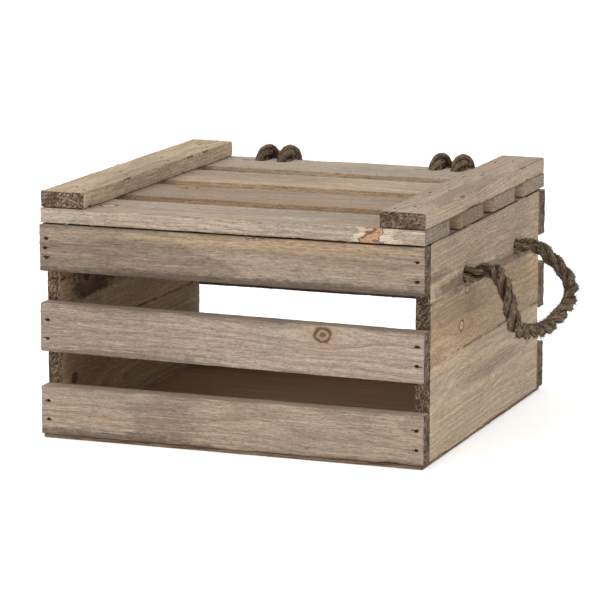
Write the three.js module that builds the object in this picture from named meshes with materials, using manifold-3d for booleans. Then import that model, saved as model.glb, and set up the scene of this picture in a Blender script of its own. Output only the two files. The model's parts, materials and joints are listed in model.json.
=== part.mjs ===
// Shipping crate: slatted box, slatted lid on rope hinges, and two rope handles.
// Millimetres, +Z up, +X to the right, +Y to the back.
// The origin is the centre of the underside of the bottom board.

import * as THREE from 'three';
import { mergeVertices } from 'three/addons/utils/BufferGeometryUtils.js';
import Module from 'manifold-3d';

// ---------- driving dimensions ----------

const WIDTH = 360; // over the two end panels
const DEPTH = 355; // over the front and back slats
const GAP = 0.3; // between neighbouring pieces

const BASE_THICK = 3.6;
const BASE_INSET = 1.5;

const PANEL_THICK = 13.8;
const PANEL_TOP = 194;
const STAVE_JOINTS = [87.3, 141.4]; // heights of the two edge joints in an end panel

const SLAT_THICK = 15.5;
const BACK_SLAT_OVERHANG = 1.2; // of a back slat past each end panel
const SLAT_BOTTOM = BASE_THICK + GAP;
const FRONT_SLATS = [
  { level: 'low', bottom: SLAT_BOTTOM, height: 44, drop: 0 },
  { level: 'mid', bottom: 77.3, height: 44.3, drop: 3.4 },
  { level: 'top', bottom: 151.5, height: 42.1, drop: 0 },
];
const BACK_SLATS = [
  { level: 'low', bottom: SLAT_BOTTOM, height: 43.4, drop: 0 },
  { level: 'mid', bottom: 81.5, height: 43.5, drop: 0 },
  { level: 'top', bottom: 151, height: 42.6, drop: 0 },
];

const LID_BOTTOM = PANEL_TOP + 0.8;
const LID_THICK = 13.5;
const LID_FRONT_SETBACK = 2;
const LID_REAR_OVERHANG = 2.5; // past the back slats
const HINGE_AXIS_SETBACK = 0.5; // of the lid's rear edge in front of its hinge axis
const LID_SLAT_WIDTHS = [67, 70, 68, 69]; // from front to back
const LID_SLAT_NAMES = ['lid_slat_front', 'lid_slat_mid_front', 'lid_slat_mid_rear', 'lid_slat_rear'];
const LID_WIDTH = WIDTH - 1;
const BATTEN_WIDTH = 42;
const BATTEN_THICK = 14.6;
const BATTEN_INSET = 1; // end grain of the batten behind the lid's front and rear edges

const ROPE_RADIUS = 6.4;
const HINGE_RING_RADIUS = 21; // centreline of a hinge rope, about the lid's hinge axis
const HINGE_CLEARANCE = 0.8;
const HINGE_CENTRES = [-90, 87]; // along X
const HINGE_ROPE_SPACING = 22;

const HANDLE_CENTRE_Y = 12;
const HANDLE_HOLE_SPACING = 152;
const HANDLE_HEIGHT = 152;
const HANDLE_REACH = 74; // from the holes to the far side of the loop
const HANDLE_DROOPS = { right: 39, left: 67 }; // degrees below level at rest
const HANDLE_HOLE_RADIUS = ROPE_RADIUS + 0.9;
const KNOT_RADIUS = 11;

const NAIL_SHANK_RADIUS = 0.8;
const NAIL_HEAD_RADIUS = 1.4;
const NAIL_HEAD_THICK = 0.8;
const SIDE_NAIL_LENGTH = 32;
const SIDE_NAIL_SPREAD = 17;
const LID_NAIL_LENGTH = 24;
const NAIL_SIDES = 6;

const ROPE_SIDES = 10;
const RING_STEPS = 24;
const LOOP_STEPS = 28;

// ---------- materials ----------

function material(color, roughness, metalness = 0) {
  return () => new THREE.MeshStandardMaterial({ color, roughness, metalness });
}

const slatWood = material(0xa5917b, 0.85);
const panelWood = material(0x9d8566, 0.88);
const lidWood = material(0xa08b72, 0.85);
const boardWood = material(0x6b5238, 0.8);
const rope = material(0x7c6a50, 0.95);
const nailSteel = material(0x3a3530, 0.6, 0.8);

// ---------- solids ----------

const wasm = await Module();
wasm.setup();

function toSolid(geometry) {
  const bare = geometry.clone();
  bare.deleteAttribute('normal');
  bare.deleteAttribute('uv');
  const merged = mergeVertices(bare, 1e-4);
  const vertProperties = new Float32Array(merged.attributes.position.array);
  const triVerts = new Uint32Array(merged.index.array);
  return new wasm.Manifold(new wasm.Mesh({ numProp: 3, vertProperties, triVerts }));
}

function toGeometry(solid) {
  const mesh = solid.getMesh();
  const geometry = new THREE.BufferGeometry();
  geometry.setAttribute('position', new THREE.BufferAttribute(new Float32Array(mesh.vertProperties), 3));
  geometry.setIndex(new THREE.BufferAttribute(new Uint32Array(mesh.triVerts), 1));
  geometry.computeVertexNormals();
  return geometry;
}

function cut(geometry, tools) {
  let solid = toSolid(geometry);
  for (const tool of tools) {
    solid = solid.subtract(toSolid(tool));
  }
  return toGeometry(solid);
}

// A revolved solid about `direction`, from a profile of [radius, distance] points, starting at `start`.
function turned(profile, sides, start, direction) {
  const points = profile.map(([radius, distance]) => new THREE.Vector2(radius, distance));
  const geometry = new THREE.LatheGeometry(points, sides);
  const up = new THREE.Vector3(0, 1, 0);
  const turn = new THREE.Quaternion().setFromUnitVectors(up, direction.clone().normalize());
  return geometry.applyQuaternion(turn).translate(start.x, start.y, start.z);
}

// The cylinder that clears a rope or nail running along `direction` from `start`.
function drill(radius, length, sides, start, direction) {
  const profile = [[0, 0], [radius, 0], [radius, length], [0, length]];
  return turned(profile, sides, start, direction);
}

function ropeSection() {
  const shape = new THREE.Shape();
  for (let i = 0; i < ROPE_SIDES; i += 1) {
    const angle = (i / ROPE_SIDES) * Math.PI * 2;
    const x = ROPE_RADIUS * Math.cos(angle);
    const y = ROPE_RADIUS * Math.sin(angle);
    if (i === 0) {
      shape.moveTo(x, y);
    } else {
      shape.lineTo(x, y);
    }
  }
  shape.closePath();
  return shape;
}

// ---------- the groups that move together ----------

const crate = new THREE.Group();
const lid = new THREE.Group();
const handleRight = new THREE.Group();
const handleLeft = new THREE.Group();

// Adds a piece whose geometry is given in the crate's frame, so that its own origin is at `centre`.
function addPiece(group, name, geometry, makeMaterial, centre) {
  geometry.translate(-centre.x, -centre.y, -centre.z);
  const mesh = new THREE.Mesh(geometry, makeMaterial());
  mesh.name = name;
  mesh.position.copy(centre);
  group.add(mesh);
}

function addBoard(group, name, size, centre, makeMaterial, tools = [], tilt = 0) {
  const box = new THREE.BoxGeometry(size.x, size.y, size.z).rotateY(tilt).translate(centre.x, centre.y, centre.z);
  addPiece(group, name, cut(box, tools), makeMaterial, centre);
}

// ---------- nails ----------

// A brad with a small flat head. Its head is sunk GAP below the face at `face`.
function nailGeometry(face, direction, length) {
  const profile = [
    [0, GAP],
    [NAIL_HEAD_RADIUS, GAP],
    [NAIL_HEAD_RADIUS, GAP + NAIL_HEAD_THICK],
    [NAIL_SHANK_RADIUS, GAP + NAIL_HEAD_THICK],
    [NAIL_SHANK_RADIUS, length - NAIL_SHANK_RADIUS],
    [0, length],
  ];
  return turned(profile, NAIL_SIDES, face, direction);
}

// The stepped hole that the brad sits in, GAP wider than the brad all round.
function nailHole(face, direction, length) {
  const headRadius = NAIL_HEAD_RADIUS + GAP;
  const shankRadius = NAIL_SHANK_RADIUS + GAP;
  const headDepth = NAIL_HEAD_THICK + 2 * GAP;
  const profile = [
    [0, -1],
    [headRadius, -1],
    [headRadius, headDepth],
    [shankRadius, headDepth],
    [shankRadius, length + GAP],
    [0, length + GAP],
  ];
  return turned(profile, NAIL_SIDES, face, direction);
}

// Nails through the front (sign -1) or back (sign +1) slats into the end panels.
function sideNails(slats, sign, side) {
  const nails = [];
  for (const slat of slats) {
    const middle = slat.bottom + slat.height / 2;
    const single = sign > 0 && slat.level === 'mid';
    const offsets = single ? [0] : [-SIDE_NAIL_SPREAD / 2, SIDE_NAIL_SPREAD / 2];
    for (const end of [-1, 1]) {
      offsets.forEach((offset, index) => {
        const x = end * (WIDTH / 2 - PANEL_THICK / 2);
        const face = new THREE.Vector3(x, sign * DEPTH / 2, middle + offset);
        const endName = end < 0 ? 'left' : 'right';
        const suffix = single ? '' : `_${index + 1}`;
        nails.push({
          name: `nail_${side}_${slat.level}_${endName}${suffix}`,
          level: slat.level,
          end,
          face,
          direction: new THREE.Vector3(0, -sign, 0),
        });
      });
    }
  }
  return nails;
}

const frontNails = sideNails(FRONT_SLATS, -1, 'front');
const backNails = sideNails(BACK_SLATS, 1, 'back');
const wallNails = [...frontNails, ...backNails];

for (const nail of wallNails) {
  addPiece(crate, nail.name, nailGeometry(nail.face, nail.direction, SIDE_NAIL_LENGTH), nailSteel, nail.face);
}

// ---------- bottom board ----------

const baseSize = new THREE.Vector3(WIDTH - 2 * BASE_INSET, DEPTH - 2 * BASE_INSET, BASE_THICK);
addBoard(crate, 'bottom_board', baseSize, new THREE.Vector3(0, 0, BASE_THICK / 2), boardWood);

// ---------- rope hinges ----------

const lidRear = DEPTH / 2 + LID_REAR_OVERHANG;
const hingeAxis = new THREE.Vector3(0, lidRear + HINGE_AXIS_SETBACK, LID_BOTTOM);
const hingeRopeXs = HINGE_CENTRES.flatMap((x) => [x - HINGE_ROPE_SPACING / 2, x + HINGE_ROPE_SPACING / 2]);

function hingeRing(x, radius) {
  const ring = new THREE.TorusGeometry(HINGE_RING_RADIUS, radius, ROPE_SIDES, RING_STEPS);
  return ring.rotateY(Math.PI / 2).translate(x, hingeAxis.y, hingeAxis.z);
}

const hingeHoles = hingeRopeXs.map((x) => hingeRing(x, ROPE_RADIUS + HINGE_CLEARANCE));

hingeRopeXs.forEach((x, index) => {
  const centre = new THREE.Vector3(x, hingeAxis.y, hingeAxis.z);
  addPiece(crate, `hinge_rope_${index + 1}`, hingeRing(x, ROPE_RADIUS), rope, centre);
});

// ---------- front and back slats ----------

function addWall(slats, sign, side, nails) {
  for (const slat of slats) {
    const overhang = sign > 0 ? BACK_SLAT_OVERHANG : 0;
    const size = new THREE.Vector3(WIDTH + 2 * overhang, SLAT_THICK, slat.height);
    const y = sign * (DEPTH - SLAT_THICK) / 2;
    const centre = new THREE.Vector3(0, y, slat.bottom + slat.height / 2);
    const tools = nails
      .filter((nail) => nail.level === slat.level)
      .map((nail) => nailHole(nail.face, nail.direction, SIDE_NAIL_LENGTH));
    if (sign > 0 && slat.level === 'top') {
      tools.push(...hingeHoles);
    }
    const tilt = Math.atan2(slat.drop, WIDTH);
    addBoard(crate, `${side}_slat_${slat.level}`, size, centre, slatWood, tools, tilt);
  }
}

addWall(FRONT_SLATS, -1, 'front', frontNails);
addWall(BACK_SLATS, 1, 'back', backNails);

// ---------- end panels, three staves each ----------

const holeYs = [-1, 1].map((side) => HANDLE_CENTRE_Y + (side * HANDLE_HOLE_SPACING) / 2);

function addPanel(end, endName) {
  const levels = ['low', 'mid', 'top'];
  const bottoms = [SLAT_BOTTOM, ...STAVE_JOINTS.map((joint) => joint + GAP / 2)];
  const tops = [...STAVE_JOINTS.map((joint) => joint - GAP / 2), PANEL_TOP];
  const length = DEPTH - 2 * (SLAT_THICK + GAP);
  const x = end * (WIDTH - PANEL_THICK) / 2;
  const inward = new THREE.Vector3(-end, 0, 0);
  levels.forEach((level, index) => {
    const size = new THREE.Vector3(PANEL_THICK, length, tops[index] - bottoms[index]);
    const centre = new THREE.Vector3(x, 0, (tops[index] + bottoms[index]) / 2);
    const tools = wallNails
      .filter((nail) => nail.end === end && nail.level === level)
      .map((nail) => nailHole(nail.face, nail.direction, SIDE_NAIL_LENGTH));
    if (level === 'top') {
      for (const y of holeYs) {
        const start = new THREE.Vector3(end * (WIDTH / 2 + 1), y, HANDLE_HEIGHT);
        tools.push(drill(HANDLE_HOLE_RADIUS, PANEL_THICK + 2, 2 * ROPE_SIDES, start, inward));
      }
    }
    addBoard(crate, `stave_${endName}_${level}`, size, centre, panelWood, tools);
  });
}

addPanel(-1, 'left');
addPanel(1, 'right');

// ---------- lid ----------

const lidFront = -DEPTH / 2 + LID_FRONT_SETBACK;
const lidSlatTotal = LID_SLAT_WIDTHS.reduce((sum, width) => sum + width, 0);
const lidGap = (lidRear - lidFront - lidSlatTotal) / (LID_SLAT_WIDTHS.length - 1);
const battenBottom = LID_BOTTOM + LID_THICK + GAP;
const battenTop = battenBottom + BATTEN_THICK;
const down = new THREE.Vector3(0, 0, -1);

let slatFront = lidFront;
const lidSlats = LID_SLAT_WIDTHS.map((width, index) => {
  const slat = { name: LID_SLAT_NAMES[index], width, y: slatFront + width / 2 };
  slatFront += width + lidGap;
  return slat;
});

function lidNail(slat, end) {
  const x = end * (LID_WIDTH - BATTEN_WIDTH) / 2;
  return new THREE.Vector3(x, slat.y, battenTop);
}

for (const slat of lidSlats) {
  const tools = [-1, 1].map((end) => nailHole(lidNail(slat, end), down, LID_NAIL_LENGTH));
  if (slat.name === 'lid_slat_rear') {
    tools.push(...hingeHoles);
  }
  const size = new THREE.Vector3(LID_WIDTH, slat.width, LID_THICK);
  const centre = new THREE.Vector3(0, slat.y, LID_BOTTOM + LID_THICK / 2);
  addBoard(lid, slat.name, size, centre, lidWood, tools);
}

for (const end of [-1, 1]) {
  const endName = end < 0 ? 'left' : 'right';
  const nails = lidSlats.map((slat) => lidNail(slat, end));
  const size = new THREE.Vector3(BATTEN_WIDTH, lidRear - lidFront - 2 * BATTEN_INSET, BATTEN_THICK);
  const centre = new THREE.Vector3(end * (LID_WIDTH - BATTEN_WIDTH) / 2, (lidRear + lidFront) / 2, 0);
  centre.z = (battenBottom + battenTop) / 2;
  const tools = nails.map((face) => nailHole(face, down, LID_NAIL_LENGTH));
  addBoard(lid, `lid_batten_${endName}`, size, centre, lidWood, tools);
  nails.forEach((face, index) => {
    addPiece(lid, `nail_lid_${index + 1}_${endName}`, nailGeometry(face, down, LID_NAIL_LENGTH), nailSteel, face);
  });
}

// ---------- rope handles ----------

// The knotted end of a handle rope: from the panel's outer face, through its hole, to a round knot inside.
function addRopeEnd(end, y, name) {
  const knotCentre = PANEL_THICK + GAP + KNOT_RADIUS;
  const bury = Math.asin(ROPE_RADIUS / KNOT_RADIUS);
  const profile = [[0, 0], [ROPE_RADIUS, 0]];
  const steps = 8;
  for (let i = 0; i <= steps; i += 1) {
    const angle = bury + (i / steps) * (Math.PI - bury);
    const radius = i === steps ? 0 : KNOT_RADIUS * Math.sin(angle);
    profile.push([radius, knotCentre - KNOT_RADIUS * Math.cos(angle)]);
  }
  const start = new THREE.Vector3(end * (WIDTH / 2), y, HANDLE_HEIGHT);
  const inward = new THREE.Vector3(-end, 0, 0);
  addPiece(crate, name, turned(profile, ROPE_SIDES, start, inward), rope, start);
}

// The free loop of a handle: a U in a plane that droops from the hinge line through the two holes.
function addLoop(group, end, endName) {
  const half = HANDLE_HOLE_SPACING / 2;
  const droop = THREE.MathUtils.degToRad(HANDLE_DROOPS[endName]);
  const outline = [
    [0, -half],
    [0.3 * HANDLE_REACH, -1.05 * half],
    [0.72 * HANDLE_REACH, -0.98 * half],
    [0.95 * HANDLE_REACH, -0.62 * half],
    [HANDLE_REACH, 0],
    [0.95 * HANDLE_REACH, 0.62 * half],
    [0.72 * HANDLE_REACH, 0.98 * half],
    [0.3 * HANDLE_REACH, 1.05 * half],
    [0, half],
  ];
  const points = outline.map(([out, across]) => {
    const x = end * out * Math.cos(droop);
    const z = -out * Math.sin(droop);
    return new THREE.Vector3(x, across, z);
  });
  const path = new THREE.CatmullRomCurve3(points);
  const geometry = new THREE.ExtrudeGeometry(ropeSection(), {
    extrudePath: path,
    steps: LOOP_STEPS,
    bevelEnabled: false,
  });
  const pivot = new THREE.Vector3(end * (WIDTH / 2 + ROPE_RADIUS + 1.5), HANDLE_CENTRE_Y, HANDLE_HEIGHT);
  geometry.translate(pivot.x, pivot.y, pivot.z);
  addPiece(group, `handle_rope_${endName}`, geometry, rope, pivot);
}

for (const [end, endName, group] of [[-1, 'left', handleLeft], [1, 'right', handleRight]]) {
  addRopeEnd(end, holeYs[0], `rope_end_${endName}_front`);
  addRopeEnd(end, holeYs[1], `rope_end_${endName}_rear`);
  addLoop(group, end, endName);
}

const object = new THREE.Group();
object.add(crate, lid, handleRight, handleLeft);

export default object;
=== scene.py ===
"""Looks for the shipping crate: rough sawn boards, twisted fibre rope, brads and a plain studio."""

import json
import math

import bmesh
import bpy
import numpy as np
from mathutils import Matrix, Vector


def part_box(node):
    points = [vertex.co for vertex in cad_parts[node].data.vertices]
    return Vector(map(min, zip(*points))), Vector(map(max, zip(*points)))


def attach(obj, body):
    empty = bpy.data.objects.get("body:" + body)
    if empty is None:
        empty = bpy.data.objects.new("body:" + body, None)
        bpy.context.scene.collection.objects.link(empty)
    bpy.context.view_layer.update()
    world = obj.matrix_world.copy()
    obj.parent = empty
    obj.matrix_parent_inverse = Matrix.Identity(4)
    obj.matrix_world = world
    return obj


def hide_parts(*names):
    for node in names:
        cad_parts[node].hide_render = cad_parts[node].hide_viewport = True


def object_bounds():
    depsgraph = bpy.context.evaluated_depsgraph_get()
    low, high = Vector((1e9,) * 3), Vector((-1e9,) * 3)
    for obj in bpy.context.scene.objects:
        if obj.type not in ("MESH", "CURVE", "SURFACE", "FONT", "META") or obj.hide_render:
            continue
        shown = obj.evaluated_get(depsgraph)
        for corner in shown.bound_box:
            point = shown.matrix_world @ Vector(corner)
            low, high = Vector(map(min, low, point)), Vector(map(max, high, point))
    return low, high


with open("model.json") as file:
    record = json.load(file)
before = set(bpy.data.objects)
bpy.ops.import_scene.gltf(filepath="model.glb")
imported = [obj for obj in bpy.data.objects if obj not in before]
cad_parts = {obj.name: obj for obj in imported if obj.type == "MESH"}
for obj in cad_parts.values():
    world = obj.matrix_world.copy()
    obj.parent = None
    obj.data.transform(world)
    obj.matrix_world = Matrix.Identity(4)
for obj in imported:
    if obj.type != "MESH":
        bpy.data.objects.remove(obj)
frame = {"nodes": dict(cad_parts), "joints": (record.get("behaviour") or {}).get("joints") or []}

MM = 0.001
CAD_LOW, CAD_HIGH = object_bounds()


def named(start):
    """The frame's nodes whose names start so, in order."""
    return [n for n in sorted(frame["nodes"]) if n.startswith(start)]


def middle_of(node):
    """Centre of a node's box."""
    return sum(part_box(node), Vector()) / 2


NAILS = named("nail_")
LID_HINGE = next(j for j in frame["joints"] if j["name"] == "lid_hinge")
HANDLE_JOINTS = {j["child"]: j for j in frame["joints"] if j["child"].startswith("handle_")}

BASE_LOW, BASE_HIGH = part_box("bottom_board")
PANEL_LOW, PANEL_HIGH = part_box("stave_right_top")
TEN_SIDES = math.sin(math.radians(72))  # half width of the frame's ten-sided rope, as a share of its radius
ROPE_RADIUS = (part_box("hinge_rope_1")[1].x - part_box("hinge_rope_1")[0].x) / 2 / TEN_SIDES

STATION = 2.6 * MM  # spacing of a board's cross-sections along its grain
SIDE_STEP = 2.6 * MM  # spacing of points round a cross-section
EDGE_RADIUS = 0.6 * MM  # sawn edge of a slat
NAIL_PIT_RADIUS = 1.5 * MM
NAIL_PIT_DEPTH = 1.8 * MM
ROPE_LAY = 50 * MM  # length of one turn of the three strands
INNER_TURN = 5 * MM  # how far a hinge rope's loose inner turn reaches in from the main one
INNER_ROPE = 3.4 * MM  # radius of that turn
YARNS = 7  # yarn ridges on each strand
STRAND_SIDES = 22  # points round each strand
ROPE_SEED = 91  # the strands of two lengths of one rope line up because they share this seed
HOLE_ROOM = 0.8 * MM  # space between a handle rope and its hole
RING_ROOM = 0.7 * MM  # space between a hinge rope and its curved hole
CUT_ATTEMPTS = 9
CUT_NUDGE = 0.035 * MM  # how much further a hole's tool moves at each attempt
PATH_STEP = 1.1 * MM  # spacing of a handle rope's cross-sections
RING_STEPS = 140  # cross-sections of a hinge rope
FIBRES = {  # how many fibres stand off a length of rope, and how long they are
    "loop": (900, 9 * MM), "rope end": (330, 9 * MM), "ring": (420, 5 * MM), "inner turn": (60, 3 * MM),
}
COIL_STEPS = 13
COIL_RADIUS = 6.5 * MM  # of the knot in a handle rope's end
BRAD_SINK = 1.0 * MM  # how far the head of a drawn brad lies below the surface
BRAD_RADIUS = 1.3 * MM
BRAD_LENGTH = 18 * MM
JOINT_CLOSING = 0.45 * MM  # the end staves are pressed together until their joints nearly close


# ---------- small numeric helpers ----------

def wobble(rng, points, size, waves=7):
    """Smooth noise of about unit size at an N x 3 array of points, with features about `size` across."""
    total = np.zeros(points.shape[0])
    for _ in range(waves):
        direction = rng.normal(size=3)
        direction /= np.linalg.norm(direction)
        frequency = 2 * math.pi / size * rng.uniform(0.5, 1.5)
        total += np.sin(points @ direction * frequency + rng.uniform(0, 2 * math.pi))
    return total / math.sqrt(waves / 2)


def smooth_path(points, spacing):
    """A Catmull-Rom curve through the points, resampled at about the given spacing."""
    points = np.array(points, float)
    padded = np.vstack([2 * points[0] - points[1], points, 2 * points[-1] - points[-2]])
    fine = []
    for i in range(1, len(padded) - 2):
        p0, p1, p2, p3 = padded[i - 1:i + 3]
        for t in np.linspace(0, 1, 24, endpoint=False):
            fine.append(0.5 * (2 * p1 + (p2 - p0) * t + (2 * p0 - 5 * p1 + 4 * p2 - p3) * t ** 2
                               + (3 * p1 - p0 - 3 * p2 + p3) * t ** 3))
    fine.append(padded[-2])
    return resample(np.array(fine), spacing)


def resample(points, spacing):
    """The same polyline with evenly spaced points."""
    steps = np.linalg.norm(np.diff(points, axis=0), axis=1)
    run = np.concatenate([[0], np.cumsum(steps)])
    count = max(8, int(run[-1] / spacing))
    even = np.linspace(0, run[-1], count)
    return np.stack([np.interp(even, run, points[:, k]) for k in range(3)], 1)


def square_to(direction, hint):
    """Two directions at right angles to the given one and to each other."""
    side = np.cross(direction, hint)
    side /= np.linalg.norm(side)
    return side, np.cross(direction, side)


class MeshParts:
    """Collects vertices, faces and one number per vertex, and builds one object that holds the numbers."""

    def __init__(self):
        self.verts = []
        self.faces = []
        self.values = []
        self.count = 0

    def add(self, verts, faces, values):
        self.verts.append(np.asarray(verts, float))
        self.values.append(np.asarray(values, float))
        self.faces.extend([tuple(int(i) + self.count for i in face) for face in faces])
        self.count += len(verts)

    def build(self, name, attribute, smooth=True):
        mesh = bpy.data.meshes.new(name)
        mesh.from_pydata(np.vstack(self.verts).tolist(), [], self.faces)
        layer = mesh.attributes.new(attribute, "FLOAT", "POINT")
        layer.data.foreach_set("value", np.concatenate(self.values).astype(np.float32))
        work = bmesh.new()
        work.from_mesh(mesh)
        bmesh.ops.recalc_face_normals(work, faces=work.faces)
        work.to_mesh(mesh)
        work.free()
        mesh.polygons.foreach_set("use_smooth", [smooth] * len(mesh.polygons))
        made = bpy.data.objects.new(name, mesh)
        bpy.context.scene.collection.objects.link(made)
        return made


def grid_faces(rows, ring, closed=False):
    """Quads of a tube of `rows` rings with `ring` points each. If closed, its last ring meets its first."""
    faces = []
    for r in range(rows if closed else rows - 1):
        m = (r + 1) % rows
        for k in range(ring):
            n = (k + 1) % ring
            faces.append((r * ring + k, r * ring + n, m * ring + n, m * ring + k))
    return faces


def hair(parts, start, direction, bend, length, radius, value, joints=4):
    """A thin tapering fibre with three sides."""
    direction = direction / np.linalg.norm(direction)
    side, other = square_to(direction, [0.31, 0.77, 0.55])
    verts = []
    for j in range(joints):
        t = j / joints
        centre = start + direction * length * t + bend * length * t * t
        r = radius * (1 - 0.75 * t)
        for k in range(3):
            angle = 2 * math.pi * k / 3
            verts.append(centre + r * (math.cos(angle) * side + math.sin(angle) * other))
    verts.append(start + direction * length + bend * length)
    faces = grid_faces(joints, 3)
    tip = joints * 3
    faces += [(tip - 3, tip - 2, tip), (tip - 2, tip - 1, tip), (tip - 1, tip - 3, tip), (2, 1, 0)]
    parts.add(verts, faces, [value] * len(verts))


# ---------- boards ----------

def section_loop(width, thick, edge_radius):
    """Points round a rectangle with rounded corners.

    Gives each point's place, outward normal, nearest corner's number, and a weight that is 1 at the corner.
    """
    places, normals, corners, weights = [], [], [], []
    signs = [(1, 1), (-1, 1), (-1, -1), (1, -1)]
    for c, (su, sv) in enumerate(signs):
        centre = np.array([su * (width / 2 - edge_radius), sv * (thick / 2 - edge_radius)])
        first = c * math.pi / 2
        for step in range(4):
            angle = first + step * math.pi / 6
            normal = np.array([math.cos(angle), math.sin(angle)])
            places.append(centre + edge_radius * normal)
            normals.append(normal)
            corners.append(c)
            weights.append(1.0)
        along_width = c % 2 == 0
        span = (width if along_width else thick) - 2 * edge_radius
        count = max(2, int(span / SIDE_STEP))
        start = places[-1]
        heading = np.array([-normals[-1][1], normals[-1][0]])
        for i in range(1, count):
            run = span * i / count
            places.append(start + heading * run)
            normals.append(np.array([math.cos(first + math.pi / 2), math.sin(first + math.pi / 2)]))
            near_next = span - run < run
            corners.append((c + 1) % 4 if near_next else c)
            distance = min(run, span - run)
            weights.append(math.exp(-distance / (1.1 * MM)))
    return np.array(places), np.array(normals), np.array(corners), np.array(weights)


def sawn_sides(rng, length, stations, section, wear):
    """The long sides of a rough board, sunk, chipped and ragged at the ends, in the board's own axes.

    Gives the points, how near each one is to an edge, and the shift that places this board in the noise.
    """
    places, normals, corners, weights = section
    rows = len(stations)
    s = np.repeat(stations, len(places))
    nu = np.tile(normals[:, 0], rows)
    nv = np.tile(normals[:, 1], rows)
    corner = np.tile(corners, rows)
    weight = np.tile(weights, rows)
    points = np.stack([s, np.tile(places[:, 0], rows), np.tile(places[:, 1], rows)], 1)
    shift = rng.uniform(-5, 5, 3)
    sample = points + shift

    sunk = (0.14 + 0.08 * wobble(rng, sample * [0.5, 1, 1], 40 * MM)) * MM
    sunk += 0.035 * MM * wobble(rng, sample * [0.25, 1, 1], 5 * MM)
    chips = np.zeros(len(s))
    for c in range(4):
        line = np.stack([s + shift[c % 3] * (c + 1), np.zeros_like(s), np.zeros_like(s)], 1)
        broad = np.clip(wobble(rng, line, 50 * MM) - 1.0, 0, 1.5)
        small = np.clip(wobble(rng, line, 7 * MM) - 1.1, 0, 1.5)
        fuzz = 0.5 + 0.5 * wobble(rng, line, 3.5 * MM)
        amount = (0.5 * broad + 0.3 * small + 0.2 * fuzz) * wear * MM
        chips = np.where(corner == c, amount * weight, chips)
    end_run = np.minimum(s + length / 2, length / 2 - s)
    near_end = np.exp(-end_run / (0.7 * MM))
    ragged = np.clip(wobble(rng, sample, 9 * MM), 0, 2) * 0.35 + 0.25
    inward = np.clip(sunk, 0.02 * MM, None) + chips + near_end * ragged * wear * MM
    points[:, 1] -= nu * inward
    points[:, 2] -= nv * inward
    saw_end = near_end * (0.25 + 0.18 * wobble(rng, sample, 6 * MM)) * MM
    points[:, 0] -= np.sign(s) * np.clip(saw_end, 0, None)
    return points, np.maximum(weight, near_end), shift


def add_sawn_end(parts, rng, rim, first, end, length, shift):
    """Closes one end of a board with rough points inside `rim`, its last ring, which starts at `first`."""
    ring = len(rim)
    previous = range(first, first + ring)
    for share in (0.94, 0.82, 0.64, 0.44, 0.22):
        layer = rim.copy()
        layer[:, 1:] *= share
        rough = wobble(rng, layer + shift, 3.2 * MM) * 0.12 + wobble(rng, layer + shift, 11 * MM) * 0.1
        layer[:, 0] = end * (length / 2 - (0.32 + np.clip(rough, -0.3, 0.3)) * MM)
        current = range(parts.count, parts.count + ring)
        parts.add(layer, [], np.full(ring, math.exp(-(1 - share) * 14)))
        for k in range(ring):
            n = (k + 1) % ring
            parts.faces.append((previous[k], previous[n], current[n], current[k]))
        previous = current
    parts.faces += [(previous[k], previous[(k + 1) % ring], parts.count) for k in range(ring)]
    parts.add([[end * (length / 2 - 0.3 * MM), 0, 0]], [], [0.0])


def board_mesh(name, centre, size, axes, rng, wear, turn=0.0, edge_radius=EDGE_RADIUS):
    """A rough sawn board. `axes` gives the world axes of its length, width and thickness."""
    length, width, thick = (size[a] for a in axes)
    section = section_loop(width, thick, edge_radius)
    ring = len(section[0])
    margins = np.array([0, 0.4, 1.0, 1.8]) * MM
    inner = np.linspace(-length / 2 + 3 * MM, length / 2 - 3 * MM, int(length / STATION))
    stations = np.concatenate([-length / 2 + margins, inner, (length / 2 - margins)[::-1]])
    rows = len(stations)
    points, nearness, shift = sawn_sides(rng, length, stations, section, wear)
    parts = MeshParts()
    parts.add(points, grid_faces(rows, ring), nearness)
    for end, first in ((-1, 0), (1, (rows - 1) * ring)):
        add_sawn_end(parts, rng, points[first:first + ring], first, end, length, shift)
    local = np.vstack(parts.verts)
    world = np.zeros_like(local)
    for i, axis in enumerate(axes):
        world[:, axis] = local[:, i]
    if turn:
        x, z = world[:, 0].copy(), world[:, 2].copy()
        world[:, 0] = x * math.cos(turn) + z * math.sin(turn)
        world[:, 2] = z * math.cos(turn) - x * math.sin(turn)
    parts.verts = [world + np.array(centre)]
    return parts.build(name, "edge")


def cylinder_tool(start, direction, radius, length, sides=12, wander=0.0, rng=None):
    """A closed cylinder from `start` along `direction`, as vertices and faces."""
    direction = np.array(direction, float)
    side, other = square_to(direction, [0.2, 0.5, 0.8])
    verts = []
    for j in range(2):
        for k in range(sides):
            angle = 2 * math.pi * k / sides
            r = radius * (1 + (wander * rng.uniform(-1, 1) if rng is not None else 0))
            verts.append(np.array(start) + direction * length * j
                         + r * (math.cos(angle) * side + math.sin(angle) * other))
    faces = grid_faces(2, sides)
    faces.append(tuple(range(sides))[::-1])
    faces.append(tuple(range(sides, 2 * sides)))
    return verts, faces


def ring_tool(centre, ring_radius, radius, inward, steps=40, sides=14):
    """A closed ring about the X axis through `centre`, reaching `inward` further in than a round one."""
    verts = []
    for i in range(steps):
        a = 2 * math.pi * i / steps
        out = np.array([0, math.cos(a), math.sin(a)])
        for k in range(sides):
            b = 2 * math.pi * k / sides
            reach = ring_radius - inward / 2 + (radius + inward / 2) * math.cos(b)
            verts.append(np.array(centre) + out * reach + np.array([radius * math.sin(b), 0, 0]))
    return verts, grid_faces(steps, sides, closed=True)


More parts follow.
